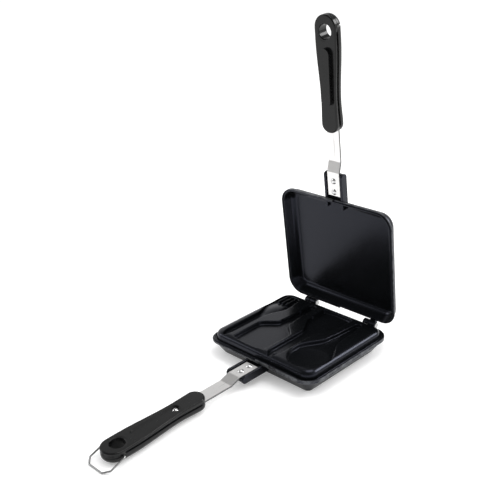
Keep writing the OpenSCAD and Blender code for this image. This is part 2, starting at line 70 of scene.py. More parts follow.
# The studio: a seamless white floor, a pale room that mirrors see as bright near the
# horizon and dim overhead and in front, and three soft boxes. Camera rays see white.
class Shade:
    """A shader socket that stands in Python sums; each operator adds its Math node.

    add() makes any other node from its type, its settings, and the values or links
    of its sockets, and returns the output that it is asked for.
    """

    def __init__(self, tree, socket=None):
        self.tree, self.socket = tree, socket

    def add(self, kind, settings=None, sockets=None, out=0):
        node = self.tree.nodes.new("ShaderNode" + kind)
        for key, value in (settings or {}).items():
            setattr(node, key, value)
        self.wire(node, sockets or {})
        return Shade(self.tree, node.outputs[out])

    def wire(self, node, sockets):
        """Gives each socket its value, or links it to another shade."""
        for key, value in sockets.items():
            if isinstance(value, Shade):
                self.tree.links.new(value.socket, node.inputs[key])
            else:
                node.inputs[key].default_value = value

    def maths(self, operation, a, b=0.0, clamp=False):
        settings = {"operation": operation, "use_clamp": clamp}
        return self.add("Math", settings, {0: a, 1: b})

    def __add__(self, other):
        return self.maths("ADD", self, other)

    def __mul__(self, other):
        return self.maths("MULTIPLY", self, other)

    __radd__, __rmul__ = __add__, __mul__

    def step(self, low, high):
        """Rises from 0 to 1 as this value goes from low to high."""
        return self.maths("MULTIPLY_ADD", self, 1 / (high - low), True)._plus(-low / (high - low))

    def _plus(self, third):
        self.socket.node.inputs[2].default_value = third
        return self

    def mix(self, first, second):
        """Colour first where this value is 0, and second where it is 1."""
        return self.add("Mix", {"data_type": "RGBA"}, {0: self, 6: first, 7: second}, 2)


def grey(value, tint=0.0):
    """A grey as a shader colour, a little bluer where tint is above 0."""
    return (value * (1 - tint), value, value * (1 + tint), 1.0)


def finish(name, pattern, **constants):
    """A material: constants go onto the shader's own sockets (an underscore stands for
    a space), and pattern(start, place) returns the sockets that vary over the surface."""
    material = bpy.data.materials.new(name)
    material.use_nodes = True
    tree = material.node_tree
    shader = tree.nodes["Principled BSDF"]
    for key, value in constants.items():
        shader.inputs[key.replace("_", " ")].default_value = value
    start = Shade(tree)
    place = start.add("TexCoord", out="Object")
    start.wire(shader, pattern(start, place))
    return material


def noise(start, place, scale, detail=3.0, stretch=(1, 1, 1), roughness=0.55):
    """Cloud noise from 0 to 1 with that many features in a metre, stretched by axis."""
    if stretch != (1, 1, 1):
        place = start.add("VectorMath", {"operation": "MULTIPLY"}, {0: place, 1: stretch})
    sockets = {"Vector": place, "Scale": scale, "Detail": detail, "Roughness": roughness}
    return start.add("TexNoise", None, sockets)


def bump(start, height, depth, strength=1.0):
    """Normal of a surface that height raises by up to depth metres."""
    sockets = {"Height": height, "Distance": depth, "Strength": strength}
    return start.add("Bump", None, sockets)


def behind(start):
    """Two shades: 1 for camera rays, and 1 for those and for mirrored or bent rays."""
    light = start.add("LightPath", out="Is Camera Ray")
    node = light.socket.node
    gloss = Shade(start.tree, node.outputs["Is Glossy Ray"])
    through = Shade(start.tree, node.outputs["Is Transmission Ray"])
    return light, start.maths("MAXIMUM", light, start.maths("MAXIMUM", gloss, through))


def floor_pattern(start, place):
    """White paper that gives off a little light to camera rays alone."""
    seen, _ = behind(start)
    paper = noise(start, place, 9.0).mix(grey(0.87), grey(0.88))
    return {
        "Base Color": paper,
        "Emission Color": seen.mix(grey(0.0), grey(1.0)),
        "Normal": bump(start, noise(start, place, 700.0), 0.00002),
    }


floor_mesh = bpy.data.meshes.new("studio_floor")
floor_mesh.from_pydata(
    [(-6, -6, 0), (6, -6, 0), (6, 6, 0), (-6, 6, 0)], [], [(0, 1, 2, 3)]
)
studio_floor = bpy.data.objects.new("studio_floor", floor_mesh)
scene.collection.objects.link(studio_floor)
floor_mesh.materials.append(
    finish("floor_paper", floor_pattern, Roughness=0.9, Specular_IOR_Level=0.1,
           Emission_Strength=0.22)
)

world = bpy.data.worlds.new("studio_room")
scene.world = world
world.use_nodes = True
room = Shade(world.node_tree)
seen, mirrored = behind(room)
facing = room.add("TexCoord", out="Generated")
split = room.add("SeparateXYZ", None, {0: facing}).socket.node.outputs
height, back = Shade(room.tree, split["Z"]), Shade(room.tree, split["Y"])
walls = height.step(0.38, 0.8).mix(grey(0.98), grey(0.2))
walls = back.step(-0.4, 0.1).mix(grey(0.12), walls)
lit = mirrored.mix(grey(0.95), walls)
room.wire(world.node_tree.nodes["Background"], {"Color": seen.mix(lit, grey(1.0)), "Strength": 1.0})


def soft_box(name, place, aim, size, power):
    """A square area lamp that stands at place and points at aim."""
    lamp = bpy.data.objects.new(name, bpy.data.lights.new(name, "AREA"))
    lamp.data.shape = "SQUARE"
    lamp.data.size, lamp.data.energy = size, power
    lamp.location = place
    lamp.rotation_euler = (Vector(aim) - Vector(place)).to_track_quat("-Z", "Y").to_euler()
    scene.collection.objects.link(lamp)


soft_box("top_box", (0.1, 0.3, 1.8), (0, -0.02, 0.05), 1.0, 10)
soft_box("left_box", (-1.5, -0.9, 0.9), (0, -0.05, 0.15), 0.8, 7)
soft_box("right_box", (1.0, 1.35, 1.3), (0, 0, 0.1), 0.8, 18)


# Lower pan: one aluminium casting with a channel bracket and two knuckles, coated
# black all over against sticking. Its bed has the shapes of four kitchen tools sunk
# into it, and half of its rim has a lip that locates the lid.
PART_Z, RIM_Z, HINGE_Y = 18.65, -0.15, 72.3
PAN_W, PAN_D, CORNER_R = 148.0, 134.0, 18.0
RIM_Y = -PAN_D / 2
CORNER = (PAN_W / 2 - CORNER_R, PAN_D / 2 - CORNER_R)
LID_OPEN = math.radians(84)


def rounded(corners, radii, closed=False, step=9):
    """Polyline whose corners are arcs that touch both runs. At a bend of angle t an arc
    of radius r starts r*tan(t/2) before the corner, and its points lie at
    centre + r*(u*sin((1-k)*t) + v*sin(k*t))/sin(t) between its end directions u, v."""
    corners = np.array(corners, float)
    count, parts = len(corners), []
    for i, r in enumerate(np.broadcast_to(radii, count)):
        here = corners[i]
        if r == 0 or (not closed and i in (0, count - 1)):
            parts.append(here[None])
            continue
        a, b = corners[i - 1] - here, corners[(i + 1) % count] - here
        a, b = a / np.linalg.norm(a), b / np.linalg.norm(b)
        turn = math.pi - math.acos(np.clip(a @ b, -1, 1))
        centre = here + (a + b) / np.linalg.norm(a + b) * r / math.cos(turn / 2)
        u, v = ((here + d * r * math.tan(turn / 2) - centre) / r for d in (a, b))
        k = np.linspace(0, 1, max(3, round(math.degrees(turn) / step) + 1))[:, None]
        parts.append(centre + r * (np.sin((1 - k) * turn) * u + np.sin(k * turn) * v)
                     / math.sin(turn))
    return np.concatenate(parts)


def outward(outline):
    """Outward direction at each point of a closed anticlockwise outline: the sum of its
    two edges' normals over 1 + their dot product, so that a shift moves both by 1."""
    edge = np.roll(outline, -1, 0) - outline
    edge /= np.linalg.norm(edge, axis=1)[:, None]
    normal = np.stack([edge[:, 1], -edge[:, 0]], 1)
    before = np.roll(normal, 1, 0)
    return (normal + before) / (1 + (normal * before).sum(1))[:, None]


def quads(rows, columns, ring=False, loop=True):
    """Faces of a grid of points; loop joins the last column to the first one, and ring
    joins the last row to the first one."""
    i, j = np.meshgrid(np.arange(rows - (not ring)), np.arange(columns - (not loop)),
                       indexing="ij")
    i2, j2 = (i + 1) % rows, (j + 1) % columns
    return np.stack([i * columns + j, i * columns + j2, i2 * columns + j2,
                     i2 * columns + j], -1).reshape(-1, 4)


def tube(points, ring=False):
    """Closed shell over rows of closed loops, points[row, column, 3]: quads between the
    rows, and a flat cap on the first and the last row unless they are joined."""
    rows, columns = points.shape[:2]
    faces = [quads(rows, columns, ring)]
    if not ring:
        faces += [np.arange(columns)[None], np.arange(columns)[None] + (rows - 1) * columns]
    return points.reshape(-1, 3), faces


def carried(outline, profile, ring=False):
    """A profile of (inset, height) carried round a closed outline in the XY plane:
    each point is outline - inset*outward, at that height."""
    profile = np.asarray(profile, float)
    if profile.ndim == 2:
        profile = np.repeat(profile[:, None], len(outline), 1)
    flat = outline[None] - profile[..., :1] * outward(outline)[None]
    return tube(np.concatenate([flat, profile[..., 1:]], -1), ring)


def spun(profile, ring=False, sides=48):
    """A profile of (radius, height) turned round Z."""
    a = np.arange(sides) * 2 * math.pi / sides
    r, h = np.asarray(profile, float).T[:, :, None]
    return tube(np.stack([r * np.cos(a), r * np.sin(a), h + 0 * a], -1), ring)


def axes(shell, order, shift=(0, 0, 0)):
    """A shell with its axes taken in another order, then moved."""
    return shell[0][:, list(order)] + np.array(shift, float), shell[1]


def joined(shells):
    """Several shells as one list of points and faces."""
    points, faces, start = [], [], 0
    for p, f in shells:
        points.append(p)
        faces += [g + start for g in f]
        start += len(p)
    return np.concatenate(points), faces


def on_lower(points):
    """Place of shapes that are drawn below the plane where the pans part."""
    return points + (0, 0, PART_Z)


def on_lid(points, angle=LID_OPEN):
    """The same shapes, mirrored in that plane and turned open about the hinge."""
    x, y, z = points[:, 0], points[:, 1] - HINGE_Y, -points[:, 2]
    return np.stack([x, HINGE_Y + y * math.cos(angle) + z * math.sin(angle),
                     PART_Z - y * math.sin(angle) + z * math.cos(angle)], 1)


def mesh_of(name, shell):
    """A mesh in metres from points in millimetres, with doubles merged and faces turned
    outwards."""
    points, faces = shell
    mesh = bpy.data.meshes.new(name)
    mesh.vertices.add(len(points))
    mesh.vertices.foreach_set("co", (points * 0.001).astype(np.float32).ravel())
    corners = np.concatenate([f.ravel() for f in faces]).astype(np.int32)
    sizes = np.concatenate([np.full(len(f), f.shape[1]) for f in faces])
    mesh.loops.add(len(corners))
    mesh.loops.foreach_set("vertex_index", corners)
    mesh.polygons.add(len(sizes))
    mesh.polygons.foreach_set("loop_start", (np.cumsum(sizes) - sizes).astype(np.int32))
    mesh.update(calc_edges=True)
    work = bmesh.new()
    work.from_mesh(mesh)
    bmesh.ops.remove_doubles(work, verts=work.verts, dist=1e-7)
    bmesh.ops.recalc_face_normals(work, faces=work.faces)
    work.to_mesh(mesh)
    work.free()
    return mesh


def sized(mesh, material, sharp=35):
    """Smooth shading up to the sharp angle, and the material."""
    mesh.polygons.foreach_set("use_smooth", np.ones(len(mesh.polygons), bool))
    mesh.set_sharp_from_angle(angle=math.radians(sharp))
    mesh.materials.clear()
    mesh.materials.append(material)


def piece(name, mesh, material, body, nodes):
    """The finished object: it rides on its body and stands for its CAD nodes. Weighted
    normals keep its flats flat beside the small rounds."""
    sized(mesh, material)
    made = bpy.data.objects.new(name, mesh)
    scene.collection.objects.link(made)
    flats = made.modifiers.new("flats", "WEIGHTED_NORMAL")
    flats.keep_sharp = True
    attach(made, body)
    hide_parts(*nodes)


half_w, half_d, crossing = PAN_W / 2, PAN_D / 2, 0.15
rim_outline = rounded(
    [(half_w, -half_d), (half_w, half_d), (crossing, half_d), (-crossing, half_d),
     (-half_w, half_d), (-half_w, -half_d), (-crossing, -half_d), (crossing, -half_d)],
    [CORNER_R, CORNER_R, 0, 0, CORNER_R, CORNER_R, 0, 0], closed=True, step=5)


def rim_profile(inner, lip, before, after, edge):
    """Flange and rim of either pan, as (inset, height): up the flange's edge, over the
    locating lip or down into its rebate, and across the flat rim to the inner wall."""
    top = RIM_Z + (0.9 if lip else -1.2)
    at = 1.5 if lip else 1.8
    corners = [*before, (2.0, -3.15), (0, -3.15), (0, top), (at, top), (at, RIM_Z),
               (3.0, RIM_Z), *inner]
    radii = [0.0] + [edge] * (len(before) - 1) + [1.0, 0.7, 0.35, 0.2, 0.2, 0.5, *after]
    return rounded(corners, radii)


def rim_body(lip_side, inner, before, after, edge):
    """The two profiles, with lip and with rebate, blended where the rim crosses X = 0."""
    lip, rebate = (rim_profile(inner, kind, before, after, edge) for kind in (True, False))
    share = (rim_outline[:, 0] * lip_side > 0).astype(float)[None, :, None]
    return carried(rim_outline, lip[:, None] * share + rebate[:, None] * (1 - share))


pan_body = rim_body(
    1, inner=[(3.2, -1.65), (8.0, -1.65), (9.0, 1.4), (17.5, 1.4)], after=[0.5, 0, 0, 0],
    before=[(17.5, -0.5), (16.0, -0.5), (15.5, -PART_Z), (13.0, -PART_Z)], edge=1.4)


def widths(table, s):
    """Half width at s from stations (s, width), with smooth runs 3t^2 - 2t^3 between."""
    at, wide = np.array(table, float).T
    i = np.clip(np.searchsorted(at, s, "left") - 1, 0, len(at) - 2)
    t = np.clip((s - at[i]) / (at[i + 1] - at[i]), 0, 1)
    return wide[i] + (wide[i + 1] - wide[i]) * t * t * (3 - 2 * t)


def round_end(s, r):
    """Share of the full width left by an elliptical end of length r."""
    return np.sqrt(np.clip(1 - (1 - np.minimum(s, r) / r) ** 2, 0, 1))


# (middle, stations, length, front round, back round) of fork, turner, scraper, spoon
FORK_X, TINE_PITCH, TINE_HW = -53.95, 5.68, 1.3
TOOLS = [
    (FORK_X, [(0, 4.6), (58, 4.8), (86, 13.4), (90, 13.4), (112, 10.5)], 112, 16, 4),
    (-20.9, [(0, 21.5), (41, 21.8), (60, 5.8), (80, 4.3), (106, 4.0)], 109, 3, 4.6),
    (12.3, [(0, 6.7), (60, 6.8), (88, 19), (114, 19)], 114, 16, 2),
    (43.8, [(0, 21), (30, 21.5), (64, 7), (80, 5), (108, 3.6)], 108, 26, 4.6),
]
TOOLS_Y = -2.4
BED_R, BED_TOP, TOOL_FLOOR = 12.6, 8, 4.0


def tool_width(tool, y):
    """Half width of a tool shape at y, 0 beyond its ends."""
    _, stations, length, front, back = tool
    s = y - TOOLS_Y + length / 2
    inside = (s > 0) & (s < length)
    s = np.clip(s, 0, length)
    return inside * widths(stations, s) * round_end(s, front) * round_end(length - s, back)


def tool_outline(tool, count=150):
    """Closed outline of a tool: its half width against y, up one side and down the other."""
    t = (1 - np.cos(np.linspace(0, math.pi, count))) / 2
    y = tool[2] * (t - 0.5) * 0.9999 + TOOLS_Y
    x = np.maximum(tool_width(tool, y), 0.03)
    return np.concatenate([np.stack([tool[0] + x, y], 1),
                           np.stack([tool[0] - x, y], 1)[::-1]])


def inside_by(points, outline):
    """Distance of points inside a closed outline, negative outside: the least distance
    to its edges, with the sign of an odd count of edges to the right of the point."""
    low, high = outline.min(0) - 3, outline.max(0) + 3
    near = ((points > low) & (points < high)).all(1)
    found = np.full(len(points), -3.0)
    p = points[near][:, None]
    a, b = outline[None], np.roll(outline, -1, 0)[None]
    d = b - a
    k = np.clip(((p - a) * d).sum(-1) / np.maximum((d * d).sum(-1), 1e-12), 0, 1)
    gap = np.sqrt((((p - a) - k[..., None] * d) ** 2).sum(-1)).min(1)
    crosses = ((a[..., 1] > p[..., 1]) != (b[..., 1] > p[..., 1])) & (
        p[..., 0] < a[..., 0] + (p[..., 1] - a[..., 1]) * d[..., 0]
        / np.where(d[..., 1] == 0, 1e-9, d[..., 1]))
    found[near] = np.where(crosses.sum(1) % 2 == 1, gap, -gap)
    return found


def box_inside(x, y, x0, x1, y0, y1):
    """Distance inside an upright rectangle, negative outside."""
    dx, dy = np.minimum(x - x0, x1 - x), np.minimum(y - y0, y1 - y)
    return np.minimum(dx, dy)


def crowded(low, high, count, marks, base=1.0):
    """count places from low to high that crowd at the marks (place, weight, reach): the
    inverse of the running sum of base + weight*exp(-((t - place)/reach)^2)."""
    t = np.linspace(low, high, 1600)
    density = base + sum(w * np.exp(-((t - at) / reach) ** 2) for at, w, reach in marks)
    total = np.concatenate([[0], np.cumsum((density[1:] + density[:-1]) / 2)])
    return np.interp(np.linspace(0, total[-1], count), total, t)


def bed_surface(columns=316, rows=256):
    """The raised bed as a height over a grid that fills its rounded outline. The height
    is the edge's quarter round by the distance d inside the outline, lowered to the
    sunken floor by the tool walls' profile by the distance inside each tool shape."""
    edge = CORNER[1] + BED_R
    ys = crowded(-edge, edge, rows, [
        (-edge, 6, 1.8), (edge, 6, 1.8), (-57.5, 1.2, 3.5), (53, 1.2, 3.5), (34.6, 1.5, 1.5)])
    bulge = np.clip(np.abs(ys) - CORNER[1], 0, None)
    reach = CORNER[0] + np.sqrt(np.clip(BED_R ** 2 - bulge ** 2, 0, None))
    sides = [(tool, tool_width(tool, ys)) for tool in TOOLS]
    grid_x = np.empty((rows, columns))
    for j, y in enumerate(ys):
        marks = [(-reach[j], 7, 1.3), (reach[j], 7, 1.3)]
        for tool, wide in sides:
            strength = 2.4 * min(1.0, wide[j] / 4)
            marks += [(tool[0] + side * wide[j], strength, 1.3) for side in (-1, 1)]
        if y > 32:
            marks += [(FORK_X + k * TINE_PITCH, 2.4 * min(1, (y - 32) / 3), 2.2)
                      for k in (-1, 0, 1)]
        grid_x[j] = crowded(-reach[j], reach[j], columns, marks)
    x, y = grid_x.ravel(), np.repeat(ys, columns)
    points = np.stack([x, y], 1)

    # distance inside the outline of the edge's round
    qx, qy = np.abs(x) - CORNER[0], np.abs(y) - CORNER[1]
    d = BED_R - np.hypot(np.maximum(qx, 0), np.maximum(qy, 0)) - np.minimum(
        np.maximum(qx, qy), 0)
    rise, run = 5, 7
    top = BED_TOP - rise + rise * np.sqrt(
        np.clip(1 - (1 - np.clip(d, 0, run) / run) ** 2, 0, 1))

    sunk = [inside_by(points, tool_outline(tool)) for tool in TOOLS]
    for k in (-1, 0, 1):
        middle = FORK_X + k * TINE_PITCH
        gap = box_inside(x, y, middle - TINE_HW, middle + TINE_HW, 34.6, 80)
        sunk[0] = np.minimum(sunk[0], -gap)
    boss = np.hypot(x - 15.3, y + 53.0) - 2.2
    sunk[2] = np.minimum(sunk[2], boss)
    depth = np.max(sunk, axis=0)
    wall = rounded([(-6, 0), (-0.5, 0), (0.5, 4), (8, 4)], [0, 1.1, 1.2, 0], step=6)
    share = np.interp(depth, wall[:, 0], wall[:, 1] / 4)
    z = top + (np.minimum(top, TOOL_FLOOR) - top) * share

    # the spoon's bowl is dished and the fork's head is domed
    bowl = np.clip(1 - np.hypot(x - 43.8, y + 32.4) ** 2 / 20.0 ** 2, 0, 1)
    swell = np.clip(1 - np.hypot((x + 54) / 13, (y - 26) / 20) ** 2, 0, 1) ** 1.5 * share
    z = z - 2 * bowl + 1.8 * swell

    # wall of the bed below the round, down into the gutter's floor
    surface = np.stack([x, y, z], 1).reshape(rows, columns, 3)
    border = np.concatenate([surface[0, :-1], surface[:-1, -1], surface[-1, :0:-1],
                             surface[:0:-1, 0]])
    index = np.arange(rows * columns).reshape(rows, columns)
    border_index = np.concatenate([index[0, :-1], index[:-1, -1], index[-1, :0:-1],
                                   index[:0:-1, 0]])
    away = np.maximum(np.abs(border[:, :2]) - CORNER, 0) * np.sign(border[:, :2])
    away /= np.linalg.norm(away, axis=1)[:, None]
    foot = rounded([(0, 3.0), (0.65, -1.55), (1.5, -1.55), (1.5, -2.2), (-3, -2.2), (-3, 0.6)],
                   [0, 0.6, 0, 0, 0, 0])[1:]
    skirt = np.concatenate([border[None, :, :2] + foot[:, None, :1] * away[None],
                            np.repeat(foot[:, None, 1:], len(border), 1)], -1)
    count = len(border)
    first = rows * columns
    ring = np.stack([border_index, np.roll(border_index, -1),
                     first + (np.arange(count) + 1) % count, first + np.arange(count)], 1)
    faces = [quads(rows, columns, loop=False), ring, quads(len(foot), count) + first,
             (first + (len(foot) - 1) * count + np.arange(count))[None]]
    return np.concatenate([surface.reshape(-1, 3), skirt.reshape(-1, 3)]), faces


def channel():
    """Channel bracket: two side plates with round free ends and the floor between them,
    as outlines in the YZ plane carried across X with small edge rounds. Known fault:
    on the lid their inner ends reach through the front wall into the dish."""
    def plate(corners, radii, x0, x1, edge=0.45):
        outline = rounded(corners, radii, closed=True)
        across = rounded([(edge * 2, x0), (0, x0), (0, x1), (edge * 2, x1)],
                         [0, edge, edge, 0], step=30)
        return axes(carried(outline, across), (2, 0, 1))

    side = [(-96.5, -11), (-56.5, -11), (-56.5, -2.2), (-96.5, -2.2)]
    floor = [(-96.3, -8.7), (-56.5, -8.7), (-56.5, -5.2), (-96.3, -5.2)]
    return [plate(side, [3.5, 0, 0, 3.5], -12, -9), plate(side, [3.5, 0, 0, 3.5], 9, 12),
            plate(floor, [0.5, 0, 0, 0.5], -10, 10)]


def knuckle(x0):
    """Knuckle with a bore for the pin, and the arm that carries it behind the flange."""
    barrel = rounded([(2.05, 0), (4.4, 0), (4.4, 7.2), (2.05, 7.2)], [0.25, 0.6, 0.6, 0.25],
                     closed=True, step=30)
    arm = rounded([(64, -4.2), (69.6, -4.2), (69.6, RIM_Z), (64, RIM_Z)], 0.4, closed=True,
                  step=30)
    across = rounded([(0.8, 0.1), (0, 0.1), (0, 7.1), (0.8, 7.1)], [0, 0.5, 0.5, 0], step=30)
    return [axes(spun(barrel, ring=True), (2, 0, 1), (x0, HINGE_Y, 0)),
            axes(carried(arm, across), (2, 0, 1), (x0, 0, 0))]


def coating_pattern(start, place):
    """Matt black non-stick coating: fine orange peel, faint clouds, and a greyer look on the
    flange's edges, partly the coating thinning there and partly a painted sheen in place of
    the floor's reflection."""
    peel = noise(start, place, 1500.0, 4.0)
    speck = noise(start, place, 5200.0, 2.0)
    cloud = noise(start, place, 26.0, 3.0)
    # the flange's edge is painted lighter grey: partly wear, partly a painted sheen for the floor's
    # reflection
    worn = start.add("Attribute", {"attribute_name": "worn"}, out="Fac")
    patchy_wear_and_sheen = worn * noise(start, place, 160.0, 4.0).step(0.3, 0.62)
    colour = cloud.mix(grey(0.0022, 0.1), grey(0.0045, 0.12))
    colour = (speck.step(0.62, 0.8) * 0.35).mix(colour, grey(0.015, 0.05))
    return {
        "Base Color": (patchy_wear_and_sheen * 0.75).mix(colour, grey(0.11, 0.03)),
        "Roughness": 0.17 + 0.08 * cloud + 0.06 * peel,
        "Normal": bump(start, peel + 0.5 * speck, 0.00006, 0.4),
    }


coating = finish("non_stick_coating", coating_pattern, Specular_IOR_Level=0.32,
                 Specular_Tint=(0.72, 0.76, 1.0, 1.0))


def edge_wear_and_sheen(mesh, back_to_drawing):
    """Stores how near each point lies to the flange's outer edge, as the attribute that
    the coating reads to paint that edge lighter grey, partly as wear and partly as a painted
    sheen: 1 on the edge and 0 from 0.9 mm inside the outline. The distance inside a rounded
    rectangle is r - |max(q, 0)| - min(max(qx, qy), 0), with q counted from the corners' centres."""
    points = np.empty(len(mesh.vertices) * 3, np.float32)
    mesh.vertices.foreach_get("co", points)
    x, y, z = back_to_drawing(points.reshape(-1, 3) * 1000.0).T
    qx, qy = np.abs(x) - CORNER[0], np.abs(y) - CORNER[1]
    inside = CORNER_R - np.hypot(np.maximum(qx, 0), np.maximum(qy, 0)) - np.minimum(
        np.maximum(qx, qy), 0)
    on_flange = (z > -3.4) & (z < 1.2) & (np.abs(inside) < 2)
    # 1 on the flange's edge, where wear and painted sheen lighten the coating
    worn = on_flange * np.clip(1 - np.abs(inside) / 0.9, 0, 1)
    layer = mesh.attributes.new("worn", "FLOAT", "POINT")
    layer.data.foreach_set("value", worn.astype(np.float32))


lower_shell = joined(
    [pan_body, bed_surface(), *channel(), *knuckle(-49.4), *knuckle(34.6)])
lower_mesh = mesh_of("lower_pan_casting", (on_lower(lower_shell[0]), lower_shell[1]))
edge_wear_and_sheen(lower_mesh, lambda points: points - (0, 0, PART_Z))
piece("lower_pan_casting", lower_mesh, coating, "lower", ["lower_pan"])


# Lid: the same casting over a plain dish. Its half of the rim has the rebate where the
# lower pan has the lip, and its knuckles stand beside the lower pan's.
lid_body = rim_body(
    -1, inner=[(7.9, -12.0), (17.5, -12.0)], after=[7.0, 0],
    before=[(17.5, -14.5), (3.8, -14.5)], edge=9.0)
lid_shell = joined([lid_body, *channel(), *knuckle(-41.8), *knuckle(42.2)])
lid_mesh = mesh_of("lid_casting", (on_lid(lid_shell[0]), lid_shell[1]))


def off_lid(points, angle=LID_OPEN):
    """The inverse of on_lid."""
    x, y, z = points[:, 0], points[:, 1] - HINGE_Y, points[:, 2] - PART_Z
    return np.stack([x, HINGE_Y + y * math.cos(angle) - z * math.sin(angle),
                     -y * math.sin(angle) - z * math.cos(angle)], 1)


edge_wear_and_sheen(lid_mesh, off_lid)
piece("lid_casting", lid_mesh, coating, "lid", ["upper_pan"])


# Hinge pins: plain steel pins through the knuckles, with a flat head on the right end
# and a peened one on the left.
def pin_pattern(start, place):
    """Bright drawn steel with fine turning marks and a little tarnish."""
    marks = noise(start, place, 2600.0, 2.0, stretch=(1, 0.2, 0.2))
    stain = noise(start, place, 300.0, 3.0)
    return {
        "Base Color": stain.mix(grey(0.42), grey(0.60)),
        "Roughness": 0.24 + 0.2 * marks,
        "Normal": bump(start, marks, 0.00002, 0.5),
    }


pin_steel = finish("pin_steel", pin_pattern, Metallic=1.0)
for name, start_x in (("left_hinge_pin", -49.55), ("right_hinge_pin", 34.45)):
    end_x = start_x + 15.1
    outline = rounded(
        [(0.05, start_x - 0.8), (2.8, start_x - 0.8), (2.8, start_x), (2.0, start_x),
         (2.0, end_x), (3.1, end_x), (3.1, end_x + 1.4), (0.05, end_x + 1.5)],
        [0, 0.5, 0, 0, 0, 0.15, 0.5, 0], step=18)
    pin = axes(spun(outline), (2, 0, 1), (0, HINGE_Y, 0))
    piece(name + "_turned", mesh_of(name, (on_lower(pin[0]), pin[1])), pin_steel, "lower",
          [name])


# Straps: flat stainless steel, brushed along its length and bent once down into the
# handle. Two rivets hold each one to its bracket's floor.
def along(path, side, section):
    """A closed section of (across, out) carried along a flat path: each ring is
    p + across*side + out*(side x direction), with the directions of the two runs
    averaged at each point and lengthened by 1/cos of half the bend."""
    run = np.diff(path, axis=0)
    run /= np.linalg.norm(run, axis=1)[:, None]
    before, after = np.vstack([run[:1], run]), np.vstack([run, run[-1:]])
    out = np.cross(side, before) + np.cross(side, after)
    out /= (1 + (before * after).sum(1))[:, None]
    points = (path[:, None] + section[None, :, :1] * np.array(side, float)
              + section[None, :, 1:] * out[:, None])
    return tube(points)


strap_line = rounded([(0, -71.0, -4.3), (0, -97.0, -4.3), (0, -109.0, -8.1),
                      (0, -184.6, -8.1)], [0, 4.0, 4.0, 0], step=4)
strap_section = rounded([(-8, -0.9), (8, -0.9), (8, 0.9), (-8, 0.9)], 0.3, closed=True,
                        step=30)
strap_shell = along(strap_line, (1, 0, 0), strap_section)


def brushed_pattern(start, place):
    """Brushed stainless steel: long fine lines that run along the strap, so they vary
    across X alone, with light smears and a few deeper scratches. The strap's two side
    edges are painted dark grey, a painted shade."""
    lines = noise(start, place, 1.0, 5.0, stretch=(5200, 70, 70), roughness=0.7)
    scratch = noise(start, place, 1.0, 2.0, stretch=(1900, 30, 30))
    smear = noise(start, place, 45.0, 3.0)
    shade = (0.65 * lines + 0.35 * smear).mix(grey(0.78, -0.01), grey(0.94, -0.015))
    side = Shade(start.tree, start.add("SeparateXYZ", None, {0: place}).socket.node.outputs["X"])
    # painted shade: cut marks the strap's two side edges, which are painted dark grey
    cut = start.maths("ABSOLUTE", side).step(0.00765, 0.00785)
    return {
        "Base Color": cut.mix(scratch.step(0.66, 0.72).mix(shade, grey(0.40)), grey(0.16)),
        "Roughness": 0.2 + 0.14 * lines + 0.08 * smear + 0.2 * cut,
        "Normal": bump(start, lines, 0.00003, 0.6),
    }


brushed = finish("brushed_stainless", brushed_pattern, Metallic=1.0)
for name, place, body in (("lower_strap", on_lower, "lower"), ("upper_strap", on_lid, "lid")):
    piece(name + "_bent", mesh_of(name, (place(strap_shell[0]), strap_shell[1])), brushed,
          body, [name])


# Rivets: aluminium, with a low domed head on the strap and a set tail under the
# bracket's floor.
def rivet_shell(at):
    """Tail, shank and dome: the dome's outline is an arc through its rim and its top."""
    dome = np.linspace(0, 1, 12)
    ball = (3.3 ** 2 + 1.55 ** 2) / (2 * 1.55)
    lift = math.asin(3.3 / ball) * (1 - dome)
    arc = np.stack([np.maximum(ball * np.sin(lift), 0.02),
                    -3.25 + ball * np.cos(lift) - ball + 1.55], 1)
    tail = rounded([(0.05, -9.9), (3.0, -9.9), (3.0, -8.65), (2.0, -8.65), (2.0, -3.45),
                    (3.25, -3.45)], [0, 0.6, 0.1, 0, 0, 0], step=18)
    return axes(spun(np.concatenate([tail, arc])), (0, 1, 2), (0, RIM_Y - at, 0))


def rivet_pattern(start, place):
    """Soft aluminium, dulled by handling, with small dents from the setting tool."""
    dent = noise(start, place, 900.0, 3.0)
    return {
        "Base Color": dent.mix(grey(0.72), grey(0.88)),
        "Roughness": 0.22 + 0.22 * dent,
        "Normal": bump(start, dent, 0.00008, 0.5),
    }


rivet_metal = finish("rivet_aluminium", rivet_pattern, Metallic=1.0)
for name, at in (("rivet_near_rim", 8.3), ("rivet_outer", 20.6)):
    for side, place, body in (("lower_", on_lower, "lower"), ("upper_", on_lid, "lid")):
        shell = rivet_shell(at)
        piece(side + name + "_set", mesh_of(side + name, (place(shell[0]), shell[1])),
              rivet_metal, body, [side + name])


# Handles: each is two moulded shells of black phenolic plastic that close on the strap,
# with a grip groove between them, a hanging hole, and a shallow recess behind the screw.
# Places along a handle are distances from the pan's rim.
START, END, NOSE, TAIL = 74.0, 193.0, 83.0, 180.0
SCREW_AT, RECESS_MID, HOLE_AT, PIVOT_AT = 108, 132, 176.5, 179.5
FACE_FRONT, FACE_RISE, SEAM, PIVOT_DEPTH = 2.1, 2.9, 7.2, 10
BAIL_REACH, BAIL_HW = 23.7, 15.2
SIDES = [(START, 10.2), (NOSE, 10.2), (106, 9.6), (168, 13), (END, 13)]
BACKS = [(START, 16.5), (NOSE, 16.5), (106, 15.8), (168, 17), (END, 17)]


def face_depth(s):
    """Depth of the handle's inner face, which slopes evenly from front to free end."""
    return FACE_FRONT + FACE_RISE * (s - START) / (END - START)


